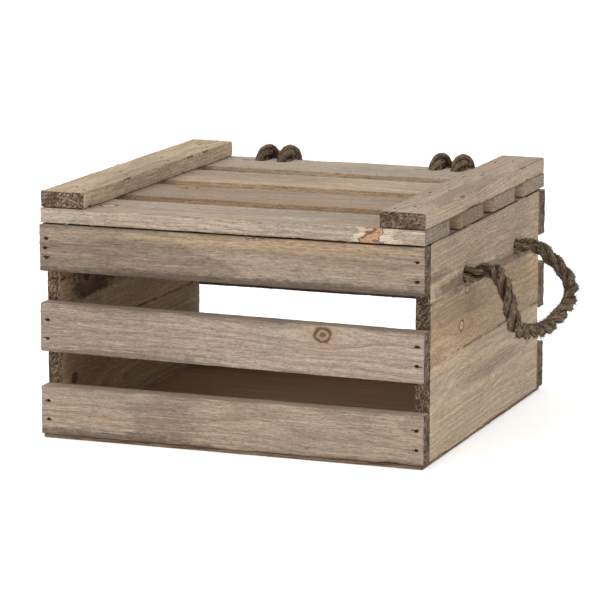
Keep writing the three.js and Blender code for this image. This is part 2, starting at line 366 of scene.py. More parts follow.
def cut_holes(board, tools):
    """Cuts a group of tool shapes, none of which touch each other, out of the board."""
    if not tools:
        return
    before = len(board.data.vertices)
    parts = MeshParts()
    for verts, faces in tools:
        parts.add(verts, faces, [0] * len(verts))
    cutter = parts.build(board.name + "_cutter", "edge", smooth=False)
    modifier = board.modifiers.new("holes", "BOOLEAN")
    modifier.operation = "DIFFERENCE"
    modifier.solver = "EXACT"
    modifier.object = cutter
    for attempt in range(CUT_ATTEMPTS):  # a rough edge can foil a cut that works a hair's breadth away
        cutter.location = Vector((1, -1, 1)) * (-1) ** attempt * attempt * CUT_NUDGE
        modifier.use_self = attempt == CUT_ATTEMPTS - 1
        graph = bpy.context.evaluated_depsgraph_get()
        finished = bpy.data.meshes.new_from_object(board.evaluated_get(graph))
        if len(finished.vertices) > 0.9 * before:
            break
    board.modifiers.clear()
    board.data = finished
    bpy.data.objects.remove(cutter)


# ---------- materials ----------

class Tree:
    """A short way to write a material's nodes."""

    def __init__(self, name):
        self.material = bpy.data.materials.new(name)
        self.material.use_nodes = True
        self.nodes = self.material.node_tree.nodes
        self.links = self.material.node_tree.links
        self.nodes.clear()
        coordinates = self.add("ShaderNodeTexCoord")
        self.place = coordinates.outputs["Object"]
        self.normal = coordinates.outputs["Normal"]

    def put(self, socket, value):
        if isinstance(value, bpy.types.NodeSocket):
            self.links.new(value, socket)
        elif value is not None:
            socket.default_value = value

    def feed(self, node, values):
        for name, value in values.items():
            self.put(node.inputs[name], value)

    def add(self, kind, **settings):
        node = self.nodes.new(kind)
        for key, value in settings.items():
            setattr(node, key, value)
        return node

    def math(self, operation, a, b=None, c=None):
        node = self.add("ShaderNodeMath", operation=operation)
        for socket, value in zip(node.inputs, (a, b, c)):
            self.put(socket, value)
        return node.outputs[0]

    def times(self, a, b):
        return self.math("MULTIPLY", a, b)

    def plus(self, a, b):
        return self.math("ADD", a, b)

    def minus(self, a, b):
        return self.math("SUBTRACT", a, b)

    def times_plus(self, a, b, c):
        return self.math("MULTIPLY_ADD", a, b, c)

    def length(self, a, b):
        return self.math("SQRT", self.plus(self.times(a, a), self.times(b, b)))

    def split(self, vector):
        node = self.add("ShaderNodeSeparateXYZ")
        self.put(node.inputs[0], vector)
        return node.outputs

    def attribute(self, name):
        return self.add("ShaderNodeAttribute", attribute_name=name).outputs["Fac"]

    def vector(self, x, y, z):
        node = self.add("ShaderNodeCombineXYZ")
        for socket, value in zip(node.inputs, (x, y, z)):
            self.put(socket, value)
        return node.outputs[0]

    def noise(self, vector, detail=3.0, roughness=0.55, scale=1.0, distortion=0.0):
        node = self.add("ShaderNodeTexNoise")
        self.feed(node, {"Vector": vector, "Scale": scale, "Detail": detail, "Roughness": roughness,
                         "Distortion": distortion})
        return node.outputs[0]

    def between(self, value, low, high):
        """0 below low, 1 above high, smooth between."""
        node = self.add("ShaderNodeMapRange", interpolation_type="SMOOTHSTEP")
        self.feed(node, {"Value": value, "From Min": low, "From Max": high})
        return node.outputs[0]

    def mix(self, share, a, b, blend="MIX"):
        node = self.add("ShaderNodeMix", data_type="RGBA", blend_type=blend)
        self.put(node.inputs[0], share)
        for socket, value in ((node.inputs[6], a), (node.inputs[7], b)):
            self.put(socket, (*value, 1.0) if isinstance(value, tuple) else value)
        return node.outputs[2]

    def finish(self, colour, roughness, height, strength, distance, specular=0.14, metallic=0.0):
        shader = self.add("ShaderNodeBsdfPrincipled")
        bump = self.add("ShaderNodeBump")
        self.feed(bump, {"Height": height, "Strength": strength, "Distance": distance})
        self.feed(shader, {"Base Color": colour, "Roughness": roughness, "Specular IOR Level": specular,
                           "Metallic": metallic, "Normal": bump.outputs[0]})
        out = self.add("ShaderNodeOutputMaterial")
        self.links.new(shader.outputs[0], out.inputs["Surface"])
        return self.material


WOODS = {
    # light and dark: early and late wood; grey: weathered film; warm: fresh brown; end: end grain;
    # warmth: how strong the fresh brown is; dirt: how dark the edges are
    "slat": {"light": (0.295, 0.224, 0.162), "dark": (0.120, 0.082, 0.054), "grey": (0.215, 0.172, 0.133),
             "warm": (0.255, 0.160, 0.090), "pale": (0.43, 0.352, 0.275), "end": (0.034, 0.019, 0.010),
             "warmth": 0.4, "dirt": 0.5},
    "panel": {"light": (0.350, 0.262, 0.168), "dark": (0.150, 0.100, 0.058), "grey": (0.230, 0.178, 0.122),
              "warm": (0.30, 0.190, 0.10), "pale": (0.46, 0.372, 0.27), "end": (0.034, 0.018, 0.009),
              "warmth": 0.5, "dirt": 0.15},
    "lid": {"light": (0.345, 0.262, 0.188), "dark": (0.145, 0.100, 0.065), "grey": (0.245, 0.196, 0.150),
            "warm": (0.295, 0.190, 0.110), "pale": (0.47, 0.388, 0.308), "end": (0.042, 0.024, 0.013),
            "warmth": 0.4, "dirt": 0.25},
}


def knot_masks(t, along, across, knots):
    """Bends the coordinate across the grain round each knot. Also gives masks: core, rim, halo and eye."""
    bent = across
    masks = []
    for knot_along, knot_across, radius, _ in knots:
        dg = t.math("DIVIDE", t.minus(along, knot_along), radius * 1.25)
        da = t.math("DIVIDE", t.minus(across, knot_across), radius)
        ragged = t.noise(t.vector(t.times(dg, 1.5), t.times(da, 1.5), 0.0), 2.0)
        reach = t.plus(t.length(dg, da), t.times(t.minus(ragged, 0.5), 0.7))
        core = t.between(reach, 1.0, 0.75)
        rim = t.times(t.between(reach, 0.6, 0.9), t.between(reach, 1.3, 0.95))
        halo = t.between(reach, 4.2, 1.0)
        eye = t.between(reach, 0.5, 0.3)
        long_reach = t.math("SQRT", t.plus(t.times(t.times(dg, dg), 0.16), t.times(da, da)))
        pull = t.times(t.between(long_reach, 3.6, 0.4), t.times(da, radius * 0.75))
        bent = t.minus(bent, pull)
        found = (core, rim, halo, eye)
        masks = [t.math("MAXIMUM", a, b) for a, b in zip(masks, found)] if masks else found
    return bent, masks


def late_wood(t, bent, depth, middle, stretched, rng):
    """The dark half of each growth ring. The rings are cylinders about a wandering pith beside the board."""
    pith_across = rng.uniform(-0.03, 0.03)
    pith_depth = rng.choice([-1, 1]) * rng.uniform(0.03, 0.06)
    from_pith = t.length(t.minus(bent, middle[0] + pith_across), t.minus(depth, middle[1] + pith_depth))
    drift = t.times(t.minus(t.noise(stretched(3.2, 12), 2.0), 0.5), 0.03)
    flutter = t.times(t.minus(t.noise(stretched(14, 90), 2.0), 0.5), 0.0022)
    rings_at = t.plus(t.plus(from_pith, drift), flutter)
    phase = t.math("FRACT", t.math("DIVIDE", rings_at, rng.uniform(3.0, 4.2) * MM))
    return t.times(t.between(phase, 0.15, 0.85), t.between(phase, 1.0, 0.9))


def draw_stains_and_shade(t, colour, stains_and_shade, along, across, streak, torn):
    """Soft-edged stains and patches of painted shade, drawn out along the grain by the streaks."""
    for mid_along, mid_across, half_along, half_across, strength, tint in stains_and_shade:
        sa = t.math("DIVIDE", t.minus(along, mid_along + 20 * MM), half_along)
        sc = t.math("DIVIDE", t.minus(across, mid_across), half_across)
        far = t.plus(t.length(sa, sc), t.times(t.minus(streak, 0.5), 1.3))
        far = t.plus(far, t.times(t.minus(torn, 0.5), 1.1))
        colour = t.mix(t.times(t.between(far, 1.15, 0.55), strength), colour, tint)
    return colour


def knotted(t, colour, masks, darkness, warm):
    """Draws the knots: a warm halo, a dark rim, and a heart that is pale in a sound light knot."""
    core, rim, halo, eye = masks
    colour = t.mix(t.times(halo, 0.42), colour, warm)
    if darkness < 0.3:
        heart = t.mix(eye, (0.56, 0.435, 0.29), (0.30, 0.185, 0.10))
    else:
        heart = t.mix(eye, (0.25, 0.158, 0.092), (0.09, 0.048, 0.027))
        heart = t.mix(0.9 * max(darkness - 0.4, 0) / 0.6, heart, (0.022, 0.014, 0.010))
    colour = t.mix(t.times(core, 0.85), colour, heart)
    return t.mix(t.times(rim, 0.8), colour, (0.035, 0.020, 0.012))


def end_grain(t, look, places, offsets, stretched, late, grit):
    """Dark and pitted, with slanting saw marks and the rings' arcs."""
    along, across, depth = places
    coarse = t.noise(stretched(60, 120), 3.0, 0.6)
    slant = t.times_plus(t.plus(across, depth), 130.0, offsets[0])
    cross = t.times_plus(t.minus(across, depth), 800.0, offsets[1])
    sawn = t.noise(t.vector(slant, cross, along), 3.0, 0.6)
    colour = t.mix(t.between(sawn, 0.46, 0.56), look["end"], (0.195, 0.140, 0.096))
    colour = t.mix(t.times(t.between(grit, 0.50, 0.60), 0.7), colour, look["light"])
    colour = t.mix(t.times(late, 0.5), colour, look["end"])
    return t.mix(t.times(t.between(coarse, 0.48, 0.60), 0.7), colour, look["end"])


def wood(name, middle, axes, kind, rng, knots=(), end_light=0.0, tone=(1, 1, 1), stains_and_shade=()):
    """Sawn softwood whose grain runs along axes[0].

    middle is the board's middle across and through its thickness.
    Knots are (along, across, radius, darkness).
    Stains and patches of painted shade are (along, across, half length, half width, strength, tint). Places
    are in metres.
    """
    look = WOODS[kind]
    t = Tree(name)
    sides = t.split(t.place)
    along, across, depth = (sides[a] for a in axes)
    end_face = t.between(t.math("ABSOLUTE", t.split(t.normal)[axes[0]]), 0.55, 0.8)
    bent, masks = knot_masks(t, along, across, knots)
    ox, oy, oz = rng.uniform(-3, 3, 3)

    def stretched(long_scale, wide_scale):
        """Grain space: long_scale features a metre along the grain, wide_scale across it."""
        return t.vector(t.times_plus(along, long_scale, ox), t.times_plus(bent, wide_scale, oy),
                        t.times_plus(depth, wide_scale, oz))

    late = late_wood(t, bent, depth, middle, stretched, rng)
    fibre = t.noise(stretched(95, 900), 4.0, 0.7)
    grain = t.noise(stretched(300, 800), 3.0, 0.7)
    hairline = t.noise(stretched(14, 620), 3.0, 0.6)
    streak = t.noise(stretched(2.6, 95), 3.0, 0.6)
    patch = t.noise(stretched(6, 22), 3.0, 0.6, distortion=0.4)
    speck = t.noise(stretched(120, 850), 2.0, 0.6)
    torn = t.noise(stretched(110, 260), 3.0, 0.6)
    grit = t.noise(stretched(500, 620), 4.0, 0.7)
    saw = t.noise(t.vector(t.times_plus(along, 520.0, ox), t.times(bent, 30.0), t.times(depth, 30.0)), 2.0)
    swirl_at = t.vector(t.times_plus(along, 75.0, oz), t.times_plus(bent, 90.0, ox),
                        t.times_plus(depth, 110.0, oy))
    swirl = t.noise(swirl_at, 2.0, 0.5)

    colour = t.mix(t.times(late, 0.36), look["light"], look["dark"])
    warmth = look["warmth"] * rng.uniform(0.7, 1.4)
    colour = t.mix(t.times(t.between(streak, 0.5, 0.72), warmth), colour, look["warm"])
    colour = t.mix(t.times(t.between(patch, 0.42, 0.68), 0.62), colour, look["grey"])
    colour = draw_stains_and_shade(t, colour, stains_and_shade, t.times_plus(swirl, 40 * MM, along), bent, streak, torn)
    colour = t.mix(t.times(t.between(hairline, 0.52, 0.72), 0.42), colour, look["dark"])
    colour = t.mix(t.times(t.between(hairline, 0.47, 0.27), 0.35), colour, look["pale"])
    shade = t.plus(t.times_plus(fibre, 1.5, -0.35), t.times(grain, 1.2))
    colour = t.mix(1.0, colour, t.vector(shade, shade, shade), "MULTIPLY")
    colour = t.mix(t.times(t.between(speck, 0.62, 0.72), 0.55), colour, (0.05, 0.034, 0.024))
    dirt = t.times(t.attribute("edge"), t.between(t.noise(stretched(30, 90), 3.0), 0.35, 0.65))
    colour = t.mix(t.times(dirt, look["dirt"]), colour, (0.07, 0.046, 0.032))

    height = t.plus(t.times(fibre, 0.55), t.times(hairline, 0.5))
    height = t.plus(height, t.times(late, 0.12))
    height = t.plus(height, t.times(saw, 0.12))
    if knots:
        colour = knotted(t, colour, masks, max(k[3] for k in knots), look["warm"])
        height = t.minus(height, t.times(masks[1], 0.9))
    end_colour = end_grain(t, look, (along, across, depth), (ox, oy), stretched, late, grit)
    if end_light:
        end_colour = t.mix(end_light, end_colour, colour)
    colour = t.mix(end_face, colour, end_colour)
    height = t.plus(height, t.times(t.times(end_face, grit), 2.2))
    colour = t.mix(1.0, colour, tone, "MULTIPLY")
    return t.finish(colour, t.times_plus(fibre, 0.25, 0.66), height, 0.85, 0.55 * MM)


def thin_board_material():
    """The smooth brown sheet under the crate."""
    t = Tree("bottom_sheet")
    x, y, z = t.split(t.place)
    grain = t.noise(t.vector(t.times(x, 9.0), t.times(y, 320.0), z), 4.0, 0.6)
    patch = t.noise(t.vector(t.times(x, 8.0), t.times(y, 14.0), z), 3.0)
    colour = t.mix(t.between(grain, 0.35, 0.7), (0.41, 0.256, 0.148), (0.275, 0.168, 0.095))
    colour = t.mix(t.times(patch, 0.5), colour, (0.225, 0.136, 0.077))
    rim = t.between(t.math("ABSOLUTE", t.split(t.normal)[2]), 0.6, 0.4)
    ply = t.noise(t.vector(t.times(x, 60.0), t.times(y, 60.0), t.times(z, 1500.0)), 3.0)
    colour = t.mix(rim, colour, t.mix(t.between(ply, 0.4, 0.6), (0.19, 0.125, 0.080), (0.06, 0.038, 0.025)))
    return t.finish(colour, t.times_plus(grain, 0.2, 0.6), grain, 0.4, 0.2 * MM)


def rope_material():
    """Hairy plant fibre. On the strands the tone attribute is painted shade and highlight: dark in the
    grooves between yarns and on the strands' inner sides, light on the outer ridges. On the loose fibres it
    is a random tone.
    """
    t = Tree("jute")
    tone = t.attribute("tone")
    fuzz = t.noise(t.place, 5.0, 0.75, scale=1100.0)
    blotch = t.noise(t.place, 3.0, 0.6, scale=90.0)
    # painted shade: near black where the strands' tone is low, in the grooves and on their inner sides
    colour = t.mix(t.between(tone, 0.32, 0.88), (0.011, 0.007, 0.004), (0.176, 0.124, 0.079))
    # painted highlight on the strands' outer ridges, and pale stray fibres
    colour = t.mix(t.between(tone, 0.9, 1.4), colour, (0.46, 0.35, 0.245))
    colour = t.mix(t.times(t.between(fuzz, 0.52, 0.72), 0.5), colour, (0.25, 0.185, 0.125))
    colour = t.mix(t.times(t.between(blotch, 0.45, 0.7), 0.6), colour, (0.045, 0.031, 0.020))
    return t.finish(colour, 0.95, fuzz, 1.0, 0.6 * MM, specular=0.1)


def nail_material():
    """Dull steel with some rust."""
    t = Tree("brad_steel")
    rust = t.noise(t.place, 4.0, 0.65, scale=1800.0)
    colour = t.mix(t.between(rust, 0.4, 0.65), (0.012, 0.010, 0.009), (0.045, 0.026, 0.017))
    return t.finish(colour, t.times_plus(rust, 0.3, 0.55), rust, 0.5, 0.1 * MM, metallic=0.3)


def floor_material():
    """A white floor that glows a little, so that it stays pale between the lights."""
    t = Tree("pale_floor")
    haze = t.noise(t.place, 2.0, 0.5, scale=3.0)
    colour = t.mix(haze, (0.93, 0.93, 0.93), (0.95, 0.95, 0.95))
    made = t.finish(colour, 0.9, haze, 0.0, 0.1 * MM, specular=0.1)
    shader = next(n for n in t.nodes if n.type == "BSDF_PRINCIPLED")
    shader.inputs["Emission Color"].default_value = (1.0, 1.0, 1.0, 1.0)
    shader.inputs["Emission Strength"].default_value = 0.24
    return made


# ---------- rope ----------

def path_frames(path, closed):
    """Tangent and two normals at each point, turned as little as possible."""
    if closed:
        tangent = np.roll(path, -1, axis=0) - np.roll(path, 1, axis=0)
    else:
        tangent = np.gradient(path, axis=0)
    tangent /= np.linalg.norm(tangent, axis=1)[:, None]
    normal = np.zeros_like(path)
    guess = np.cross(tangent[0], [0.1, 0.2, 0.97])
    normal[0] = guess / np.linalg.norm(guess)
    for i in range(1, len(path)):
        flat = normal[i - 1] - tangent[i] * (normal[i - 1] @ tangent[i])
        normal[i] = flat / np.linalg.norm(flat)
    return tangent, normal, np.cross(tangent, normal)


def strand_surface(shape, path, frames, radius, angle, turned):
    """One strand: its points, how light each one is (painted shade in the grooves and on the inner side,
    painted highlight on the outer ridges), and its centre line with two directions across it.
    """
    _, normal, binormal = frames
    swell = 1 + 0.07 * wobble(shape, path, 30 * MM)
    angle = angle + 0.16 * wobble(shape, path, 45 * MM)
    drift = wobble(shape, path, 18 * MM)
    out = np.cos(angle)[:, None] * normal + np.sin(angle)[:, None] * binormal
    side = -np.sin(angle)[:, None] * normal + np.cos(angle)[:, None] * binormal
    centre = path + out * radius
    verts = np.zeros((len(path), STRAND_SIDES, 3))
    painted_shade_tones = np.zeros((len(path), STRAND_SIDES))
    for k in range(STRAND_SIDES):
        theta = 2 * math.pi * k / STRAND_SIDES
        ridge = np.abs(np.cos(YARNS * theta / 2 + 3 * math.pi * turned + 0.3 * drift))
        direction = math.cos(theta) * out + math.sin(theta) * side
        rough = 0.07 * wobble(shape, path, 4 * MM, 4) + 0.05 * wobble(shape, path, 12 * MM, 4)
        reach = radius * swell * (0.88 + 0.17 * ridge) * (1 + rough)
        verts[:, k] = centre + direction * reach[:, None]
        outness = 0.5 + 0.5 * math.cos(theta)
        # painted shade and highlight: darker in the grooves between yarns and on the side facing the other
        # strands, lighter on the outer ridges
        painted_shade_tones[:, k] = 0.25 + 0.45 * ridge * outness + 0.3 * outness
    return verts, painted_shade_tones, (centre, out, side)


def rope_mesh(parts, path, radius, rng, kind, closed=False, span=None):
    """Adds three twisted strands with yarn ridges, fibres lying along them and fibres standing off.

    With a span, only the path's points from span[0] to span[1] are drawn. An end of the span that is not the
    path's own end is rounded off, so that two spans of one path meet as a ball does in a socket.
    """
    frames = path_frames(path, closed)
    tangent = frames[0]
    rows = len(path)
    steps = np.linalg.norm(np.diff(path, axis=0), axis=1)
    run = np.concatenate([[0], np.cumsum(steps)])
    total = run[-1] + (np.linalg.norm(path[0] - path[-1]) if closed else 0)
    turns = max(1, round(total / ROPE_LAY)) if closed else total / ROPE_LAY
    turned = turns * run / total
    begin, finish = span or (0, rows - 1)
    past = np.maximum(run[begin] - run, run - run[finish]).clip(0) / radius
    taper = np.sqrt((1 - past ** 2).clip(0))
    kept = np.flatnonzero(taper > 0.2)
    first, last = int(kept[0]), int(kept[-1])
    strand_radius = radius / 2
    strands = []
    for strand in range(3):
        shape = np.random.default_rng(ROPE_SEED + strand)
        angle = 2 * math.pi * (strand / 3 + turned)
        verts, painted_shade_tones, axes = strand_surface(shape, path, frames, strand_radius, angle, turned)
        strands.append(axes)
        verts = path[:, None] + (verts - path[:, None]) * taper[:, None, None]
        before = parts.count
        count = last + 1 - first
        parts.add(verts[first:last + 1].reshape(-1, 3), grid_faces(count, STRAND_SIDES, closed),
                  painted_shade_tones[first:last + 1].ravel())
        if closed:
            continue
        tip = before + count * STRAND_SIDES
        end_row = tip - STRAND_SIDES
        points = [verts[row].mean(axis=0) + sign * tangent[row] * 0.4 * radius * taper[row]
                  for row, sign in ((first, -1), (last, 1))]
        for k in range(STRAND_SIDES):
            n = (k + 1) % STRAND_SIDES
            parts.faces.append((before + n, before + k, tip))
            parts.faces.append((end_row + k, end_row + n, tip + 1))
        parts.add(points, [], [0.4, 0.4])
    add_fibres(parts, strands, strand_radius, tangent, rng, kind, begin + 2, finish - 2)


def add_fibres(parts, strands, radius, tangent, rng, kind, begin, finish):
    """Five fibres lying along the strands for each one that stands off them."""

    def root(spread):
        """A random place on a strand: its number, the strand's centre and lay there, and the way out."""
        centres, outs, sides = strands[rng.integers(3)]
        i = rng.integers(begin, finish)
        theta = rng.normal(0, spread)
        direction = math.cos(theta) * outs[i] + math.sin(theta) * sides[i]
        lay = centres[i + 1] - centres[i]
        return i, centres[i], lay / np.linalg.norm(lay), direction

    count, longest = FIBRES[kind]
    for _ in range(count * 5):
        _, centre, lay, direction = root(1.0)
        heading = lay * rng.choice([-1, 1]) + direction * rng.uniform(0.05, 0.3) + rng.normal(0, 0.16, 3)
        bend = rng.normal(0, 0.16, 3) - direction * 0.12
        hair(parts, centre + direction * radius * 0.95, heading, bend,
             longest * rng.uniform(0.25, 0.9), rng.uniform(0.18, 0.36) * MM, rng.uniform(0.1, 1.6), 3)
    for _ in range(count):
        i, centre, _, direction = root(0.9)
        heading = direction * rng.uniform(0.2, 0.9) + tangent[i] * rng.uniform(-1, 1)
        heading = heading + rng.normal(0, 0.25, 3)
        bend = rng.normal(0, 0.35, 3) - direction * 0.2
        length = longest * rng.uniform(0.35, 1.0) ** 1.5
        hair(parts, centre + direction * radius * 0.9, heading, bend, length,
             rng.uniform(0.13, 0.22) * MM, rng.uniform(0.35, 1.3))


# ---------- build: boards ----------

LENGTH_X = (0, 2, 1)  # grain along X, wide across Z, thin along Y: front and back slats
LENGTH_Y = (1, 2, 0)  # grain along Y, wide across Z, thin along X: end staves
LID_X = (0, 1, 2)  # lid slats
LID_Y = (1, 0, 2)  # lid battens
MID_SLAT_DROP = 3.4 * MM  # the middle front slat was nailed a little out of level

HALF_WIDTH = PANEL_HIGH.x
RNG = np.random.default_rng(20)


def nail_face(node):
    """Centre of a nail's head and the direction that the nail points in."""
    low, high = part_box(node)
    middle = (low + high) / 2
    if node.startswith("nail_front"):
        return np.array([middle.x, low.y, middle.z]), np.array([0, 1, 0])
    if node.startswith("nail_back"):
        return np.array([middle.x, high.y, middle.z]), np.array([0, -1, 0])
    return np.array([middle.x, middle.y, high.z]), np.array([0, 0, -1])


def inside_box(point, low, high, slack=1.5 * MM):
    """Whether a point lies in the box, or within the slack of it."""
    return all(low[i] - slack < point[i] < high[i] + slack for i in range(3))


def stretched_tool(tool, middle, axis, factor):
    """The tool drawn out along the grain."""
    verts, faces = tool
    drawn = np.array(verts)
    drawn[:, axis] = middle[axis] + (drawn[:, axis] - middle[axis]) * factor
    return drawn, faces


def nail_pits(node, grain, extra=()):
    """Ragged pits, and torn slits along the grain, at each nail whose head lies in this board."""
    low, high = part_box(node)
    pits, slits = [], []
    for face, direction in [nail_face(n) for n in NAILS] + list(extra):
        if not inside_box(face, low, high):
            continue
        start = face - direction * 1.2 * MM
        depth = 1.2 * MM + NAIL_PIT_DEPTH
        pit = cylinder_tool(start, direction, NAIL_PIT_RADIUS, depth, 11, 0.22, RNG)
        pits.append(stretched_tool(pit, face, grain, RNG.uniform(1.1, 1.5)))
        slit_at = start.copy()
        for axis in range(3):
            if axis != grain and abs(direction[axis]) < 0.5:
                slit_at[axis] += RNG.uniform(-0.7, 0.7) * MM
        slit_at[grain] += RNG.uniform(-2.2, 2.2) * MM
        slit = cylinder_tool(slit_at, direction, 0.65 * MM, depth - 0.4 * MM, 8, 0.3, RNG)
        slits.append(stretched_tool(slit, slit_at, grain, RNG.uniform(3.0, 5.5)))
    return [pits, slits]


def third_front_brad():
    """A brad between the two at the top front slat's left end, which the frame leaves out."""
    low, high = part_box("front_slat_top")
    heads = [nail_face(n) for n in named("nail_front")]
    pair = [face for face, _ in heads if face[0] < 0 and low.z < face[2] < high.z]
    return [(sum(pair) / 2 + np.array([-1.5 * MM, 0, 0]), heads[0][1])]


def hinge_rings():
    """The name, middle and radius of each closed ring of hinge rope. All are centred on the lid's axis."""
    _, axis_y, axis_z = LID_HINGE["pos_m"]
    for n in named("hinge_rope"):
        low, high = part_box(n)
        yield n, np.array([(low.x + high.x) / 2, axis_y, axis_z]), (high.y - low.y) / 2 - ROPE_RADIUS


def ring_tools():
    """The curved holes that the hinge ropes run in."""
    room = ROPE_RADIUS + RING_ROOM
    return [ring_tool(middle, radius, room, INNER_TURN) for _, middle, radius in hinge_rings()]


def crack_tools():
    """A short crack in the lid beside each pair of hinge ropes."""
    tools = []
    lid_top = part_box("lid_slat_rear")[1].z
    for side in (-1, 1):
        places = [middle[0] for _, middle, _ in hinge_rings() if middle[0] * side > 0]
        middle = np.array([min(places) - 15 * MM, LID_HINGE["pos_m"][1] - 21 * MM, lid_top + 1 * MM])
        crack = cylinder_tool(middle, (0, 0, -1), 2.1 * MM, 5 * MM, 9, 0.25, RNG)
        tools.append(stretched_tool(crack, middle, 0, 2.3))
    return tools


def rope_hole_tools(end):
    """The two holes that a handle rope passes through."""
    tools = []
    sign = 1 if end == "right" else -1
    for n in named(f"rope_end_{end}"):
        middle = middle_of(n)
        start = [sign * (HALF_WIDTH + 2 * MM), middle.y, middle.z]
        tools.append(cylinder_tool(start, (-sign, 0, 0), ROPE_RADIUS + HOLE_ROOM, 20 * MM, 28))
    return tools


def splinters(board, low, high, axes, count):
    """Loose slivers of wood lifting off the board's edges, joined to its mesh."""
    parts = MeshParts()
    for _ in range(count):
        at = np.array((low + high) / 2)
        outward = np.zeros(3)
        for axis in axes[1:]:
            sign = RNG.choice([-1, 1])
            at[axis] = (high if sign > 0 else low)[axis] - sign * 0.35 * MM
            outward[axis] = sign
        at[axes[0]] = RNG.uniform(low[axes[0]] + 8 * MM, high[axes[0]] - 8 * MM)
        heading = outward * RNG.uniform(0.05, 0.22) + RNG.normal(0, 0.06, 3)
        heading[axes[0]] = RNG.choice([-1, 1])
        bend = outward * RNG.uniform(0.0, 0.12) + RNG.normal(0, 0.05, 3)
        hair(parts, at, heading, bend, RNG.uniform(3, 9) * MM, RNG.uniform(0.22, 0.42) * MM, 0.2)
    slivers = parts.build(board.name + "_slivers", "edge")
    work = bmesh.new()
    work.from_mesh(board.data)
    work.from_mesh(slivers.data)
    work.to_mesh(board.data)
    work.free()
    bpy.data.objects.remove(slivers)


def settle(piece, material, body, node=None):
    """Gives a piece its material, the body it moves with and the CAD node that it stands in for, if any."""
    piece.data.materials.clear()
    piece.data.materials.append(material)
    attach(piece, body)
    if node:
        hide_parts(node)


def make_board(node, axes, kind, knots=(), cuts=(), wear=1.0, turn=0.0, end_light=0.0, tone=(1, 1, 1),
               body="crate", stains_and_shade=(), edge_radius=EDGE_RADIUS, slivers=9):
    """A board in place of a CAD node. Knots, stains and patches of painted shade are placed as shares of its
    length and width.
    """
    low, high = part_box(node)
    centre, size = (low + high) / 2, high - low
    if turn:
        size = Vector((2 * HALF_WIDTH, size.y, size.z - MID_SLAT_DROP))
    if kind == "panel":
        size = size + Vector((0, 0, JOINT_CLOSING))
    board = board_mesh(node + "_board", centre, size, axes, RNG, wear, turn, edge_radius)
    for group in cuts:
        cut_holes(board, group)
    if slivers and not turn:
        splinters(board, low, high, axes, slivers)
    length, width = size[axes[0]], size[axes[1]]
    mid_along, mid_across, mid_depth = (centre[a] for a in axes)
    placed = [(mid_along + a * length, mid_across + c * width, r * MM, d) for a, c, r, d in knots]
    marks = [(mid_along + a * length, mid_across + c * width, ha * length, hc * width, strength, tint)
             for a, c, ha, hc, strength, tint in stains_and_shade]
    material = wood(node, (mid_across, mid_depth), axes, kind, RNG, placed, end_light, tone, marks)
    settle(board, material, body, node)


# knots: share of the length from the middle, share of the width from the middle, radius in mm, darkness
FRONT_KNOTS = {"low": [], "mid": [(0.243, 0.29, 6.2, 0.4)], "top": []}
BACK_KNOTS = {"low": [(-0.2, 0.1, 4.0, 0.5)], "mid": [], "top": [(0.3, -0.15, 3.4, 0.6)]}

INK = (0.024, 0.015, 0.010)
SOOT = (0.075, 0.052, 0.040)
# painted shade of the handle rope on the right end's top stave
ROPE_SHADE_BROWN = (0.092, 0.059, 0.034)
BROWN = (0.150, 0.104, 0.076)
HONEY = (0.37, 0.245, 0.140)
ORANGE = (0.40, 0.190, 0.075)
# painted shade on the front faces of the lid slats that sit in the gaps behind other slats
GAP_SHADE_BROWN = (0.36, 0.225, 0.125)
CREAM = (0.60, 0.47, 0.33)
# stains, and a few patches of painted shade: middle and half size as shares of the length and width,
# strength, tint
FRONT_STAINS = {
    "low": [(-0.17, -0.15, 0.10, 0.7, 0.45, BROWN), (-0.3, -0.55, 0.35, 0.22, 0.75, SOOT),
            (0.35, -0.55, 0.25, 0.16, 0.6, BROWN)],
    "mid": [(-0.33, -0.45, 0.3, 0.16, 0.7, BROWN), (0.1, 0.52, 0.6, 0.12, 0.5, BROWN),
            (-0.36, 0.0, 0.26, 0.7, 0.35, BROWN)],
    "top": [(-0.28, -0.12, 0.28, 0.5, 0.55, BROWN), (0.0, -0.54, 0.7, 0.2, 0.75, SOOT),
            (0.12, 0.36, 0.45, 0.16, 0.6, HONEY)],
}
FRONT_TONES = {"low": (1.04, 1.06, 1.08), "mid": (1.10, 1.14, 1.22), "top": (0.90, 0.91, 0.93)}
BACK_STAINS = {
    "low": [(0.25, -0.5, 0.3, 0.25, 0.7, SOOT)],
    "mid": [(-0.2, 0.0, 0.15, 0.6, 0.4, BROWN)],
    "top": [(0.3, -0.5, 0.4, 0.2, 0.6, BROWN), (-0.3, 0.3, 0.3, 0.2, 0.5, HONEY)],
}

for level in ("low", "mid", "top"):
    front = f"front_slat_{level}"
    extra = third_front_brad() if level == "top" else []
    lean = math.atan2(MID_SLAT_DROP, 2 * HALF_WIDTH) if level == "mid" else 0.0
    make_board(front, LENGTH_X, "slat", FRONT_KNOTS[level], nail_pits(front, 0, extra), 0.6, lean,
               tone=FRONT_TONES[level], stains_and_shade=FRONT_STAINS[level])
    back = f"back_slat_{level}"
    cuts = nail_pits(back, 0) + ([ring_tools()] if level == "top" else [])
    make_board(back, LENGTH_X, "slat", BACK_KNOTS[level], cuts, 0.8, stains_and_shade=BACK_STAINS[level])

